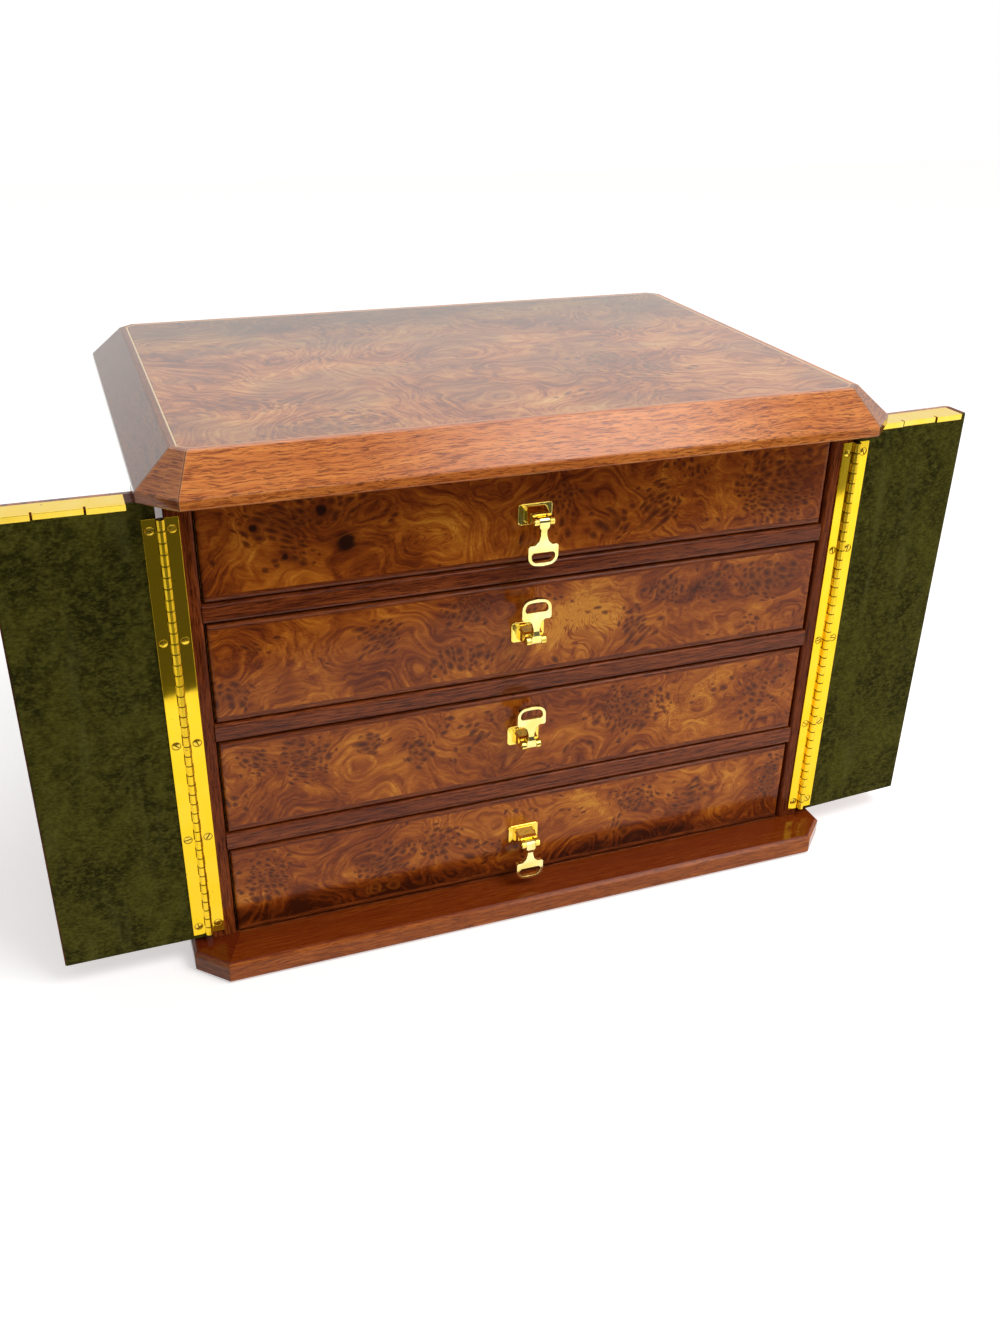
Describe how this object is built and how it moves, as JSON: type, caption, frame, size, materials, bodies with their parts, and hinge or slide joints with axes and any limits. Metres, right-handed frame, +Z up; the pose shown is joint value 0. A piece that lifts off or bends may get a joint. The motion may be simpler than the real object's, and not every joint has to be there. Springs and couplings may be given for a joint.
{
  "type": "jewelry chest",
  "caption": "Wooden jewelry chest with a bevelled burl top, stacked drawers with swinging brass stirrup pulls, and narrow velvet-faced side doors on piano hinges, shown open.",
  "frame": {"origin": "on the floor under the middle of the top", "axes": "+X to the right seen from the front, +Y to the back, +Z up; the front faces -Y"},
  "size_m": [0.5058, 0.2736, 0.2829],
  "materials": {
    "mahogany": "glossy lacquer over straight-grained red-brown mahogany",
    "burl": "glossy lacquer over swirling burl veneer with dark eyes",
    "pale_string": "glossy lacquer over pale inlay",
    "inner_wood": "plain oiled wood inside",
    "brass": "polished",
    "velvet": "dark olive velvet"
  },
  "bodies": {
    "case": {"base_board": "inner_wood", "plinth_moulding": "mahogany", "top_edging": "mahogany", "top_inlay": "pale_string", "top_panel": "burl", "case_side_left": "mahogany", "case_side_right": "mahogany", "case_back": "mahogany", "shelf_lower": "mahogany", "shelf_middle": "mahogany", "shelf_upper": "mahogany", "drawer_stops": "inner_wood", "case_hinge_leaf_left": "brass", "case_hinge_leaf_right": "brass", "hinge_pins": "brass", "case_hinge_screws": "brass"},
    "door_left": {"door_left_core": "mahogany", "door_left_panel": "burl", "door_left_velvet": "velvet", "door_left_cap": "brass", "door_left_hinge_leaf": "brass", "door_left_hinge_screws": "brass"},
    "door_right": {"door_right_core": "mahogany", "door_right_panel": "burl", "door_right_velvet": "velvet", "door_right_cap": "brass", "door_right_hinge_leaf": "brass", "door_right_hinge_screws": "brass"},
    "drawer_1": {"drawer_1_front": "burl", "drawer_1_box": "inner_wood", "drawer_1_lining": "velvet", "drawer_1_pull_mount": "brass", "drawer_1_pull_screw": "brass"},
    "pull_1": {"drawer_1_stirrup": "brass"},
    "drawer_2": {"drawer_2_front": "burl", "drawer_2_box": "inner_wood", "drawer_2_lining": "velvet", "drawer_2_pull_mount": "brass", "drawer_2_pull_screw": "brass"},
    "pull_2": {"drawer_2_stirrup": "brass"},
    "drawer_3": {"drawer_3_front": "burl", "drawer_3_box": "inner_wood", "drawer_3_lining": "velvet", "drawer_3_pull_mount": "brass", "drawer_3_pull_screw": "brass"},
    "pull_3": {"drawer_3_stirrup": "brass"},
    "drawer_4": {"drawer_4_front": "burl", "drawer_4_box": "inner_wood", "drawer_4_lining": "velvet", "drawer_4_pull_mount": "brass", "drawer_4_pull_screw": "brass"},
    "pull_4": {"drawer_4_stirrup": "brass"}
  },
  "joints": [
    {"name": "door_left_swing", "type": "hinge", "parent": "case", "child": "door_left", "pos_m": [-0.18, -0.1123, 0.13385], "axis": [0, 0, -1], "range_deg": [-180, 9]},
    {"name": "door_right_swing", "type": "hinge", "parent": "case", "child": "door_right", "pos_m": [0.18, -0.1123, 0.13385], "axis": [0, 0, 1], "range_deg": [-183.4, 5.6]},
    {"name": "drawer_1_slide", "type": "slide", "parent": "case", "child": "drawer_1", "axis": [0, -1, 0], "range_m": [0, 0.1618]},
    {"name": "drawer_2_slide", "type": "slide", "parent": "case", "child": "drawer_2", "axis": [0, -1, 0], "range_m": [0, 0.1618]},
    {"name": "drawer_3_slide", "type": "slide", "parent": "case", "child": "drawer_3", "axis": [0, -1, 0], "range_m": [0, 0.1618]},
    {"name": "drawer_4_slide", "type": "slide", "parent": "case", "child": "drawer_4", "axis": [0, -1, 0], "range_m": [0, 0.1618]},
    {"name": "pull_1_swing", "type": "hinge", "parent": "drawer_1", "child": "pull_1", "pos_m": [-0.0033, -0.1222, 0.0407], "axis": [-1, 0, 0], "range_deg": [-1.5, 181.5]},
    {"name": "pull_2_swing", "type": "hinge", "parent": "drawer_2", "child": "pull_2", "pos_m": [-0.0051, -0.1222, 0.1059], "axis": [-1, 0, 0], "range_deg": [-183, 0]},
    {"name": "pull_3_swing", "type": "hinge", "parent": "drawer_3", "child": "pull_3", "pos_m": [-0.0043, -0.1222, 0.1678], "axis": [-1, 0, 0], "range_deg": [-183, 0]},
    {"name": "pull_4_swing", "type": "hinge", "parent": "drawer_4", "child": "pull_4", "pos_m": [-0.0022, -0.1222, 0.2321], "axis": [-1, 0, 0], "range_deg": [-1.5, 181.5]}
  ]
}
